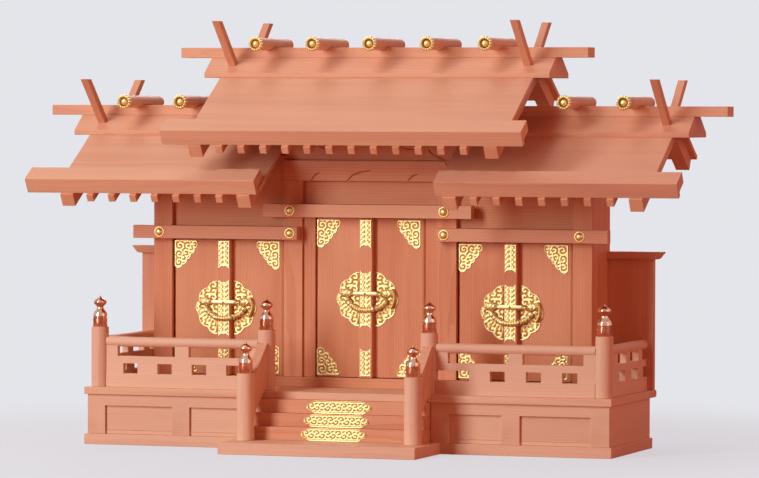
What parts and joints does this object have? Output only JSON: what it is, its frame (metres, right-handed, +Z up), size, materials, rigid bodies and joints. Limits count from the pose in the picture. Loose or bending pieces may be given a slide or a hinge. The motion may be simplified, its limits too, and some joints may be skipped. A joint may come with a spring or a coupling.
{
  "type": "kamidana household shrine",
  "caption": "Plain wooden household shrine with three gabled roofs, railed deck, steps and pairs of doors that swing out.",
  "frame": {"origin": "under the middle of the base, on the surface that the shrine stands on", "axes": "+X along the front to the viewer's right, +Y from the front to the back, +Z up"},
  "size_m": [0.6596, 0.2556, 0.3904],
  "materials": {
    "hinoki": "planed, unvarnished",
    "gilt_brass": "stamped and gilt",
    "copper": "polished, copper coloured"
  },
  "bodies": {
    "root": {"back_wall": "hinoki", "base_back_wall": "hinoki", "base_frames": "hinoki", "base_panels": "hinoki", "base_plate": "hinoki", "base_side_walls": "hinoki", "bottom_step": "hinoki", "carved_beam": "hinoki", "centre_rafters": "hinoki", "centre_roof_boards": "hinoki", "centre_upper_boards": "hinoki", "deck": "hinoki", "door_frames": "hinoki", "eave_boards": "hinoki", "forked_boards": "hinoki", "front_railings": "hinoki", "inner_pillars": "hinoki", "lintels": "hinoki", "log_caps": "gilt_brass", "middle_back_wall": "hinoki", "middle_gable_walls": "hinoki", "middle_step": "hinoki", "nail_covers": "gilt_brass", "outer_pillars": "hinoki", "post_finials": "copper", "rail_posts": "hinoki", "ridge_boards": "hinoki", "ridge_caps": "hinoki", "ridge_logs": "hinoki", "side_rafters": "hinoki", "side_railings": "hinoki", "side_roof_boards": "hinoki", "side_walls": "hinoki", "sill_beam": "hinoki", "stair_rails": "hinoki", "step_fittings": "gilt_brass", "step_plinth": "hinoki", "top_step": "hinoki", "upper_boards": "hinoki", "wing_caps": "hinoki", "wing_panels": "hinoki", "wing_sills": "hinoki"},
    "left_left_leaf": {"left_door_left_leaf": "hinoki", "left_door_left_fittings": "gilt_brass"},
    "left_right_leaf": {"left_door_right_leaf": "hinoki", "left_door_right_fittings": "gilt_brass"},
    "centre_left_leaf": {"centre_door_left_leaf": "hinoki", "centre_door_left_fittings": "gilt_brass"},
    "centre_right_leaf": {"centre_door_right_leaf": "hinoki", "centre_door_right_fittings": "gilt_brass"},
    "right_left_leaf": {"right_door_left_leaf": "hinoki", "right_door_left_fittings": "gilt_brass"},
    "right_right_leaf": {"right_door_right_leaf": "hinoki", "right_door_right_fittings": "gilt_brass"}
  },
  "joints": [
    {"name": "left_left_hinge", "type": "hinge", "parent": "root", "child": "left_left_leaf", "pos_m": [-0.1901, 0.01038, 0.0605], "axis": [0, 0, -1], "range_deg": [0, 80]},
    {"name": "left_right_hinge", "type": "hinge", "parent": "root", "child": "left_right_leaf", "pos_m": [-0.0882, 0.01038, 0.0605], "axis": [0, 0, 1], "range_deg": [0, 80]},
    {"name": "centre_left_hinge", "type": "hinge", "parent": "root", "child": "centre_left_leaf", "pos_m": [-0.0492, 0.01038, 0.0605], "axis": [0, 0, -1], "range_deg": [0, 80]},
    {"name": "centre_right_hinge", "type": "hinge", "parent": "root", "child": "centre_right_leaf", "pos_m": [0.0492, 0.01038, 0.0605], "axis": [0, 0, 1], "range_deg": [0, 80]},
    {"name": "right_left_hinge", "type": "hinge", "parent": "root", "child": "right_left_leaf", "pos_m": [0.0882, 0.01038, 0.0605], "axis": [0, 0, -1], "range_deg": [0, 80]},
    {"name": "right_right_hinge", "type": "hinge", "parent": "root", "child": "right_right_leaf", "pos_m": [0.1901, 0.01038, 0.0605], "axis": [0, 0, 1], "range_deg": [0, 80]}
  ],
  "couplings": [
    {"joint": "left_right_hinge", "follows": "left_left_hinge", "ratio": 1},
    {"joint": "centre_right_hinge", "follows": "centre_left_hinge", "ratio": 1},
    {"joint": "right_right_hinge", "follows": "right_left_hinge", "ratio": 1}
  ]
}
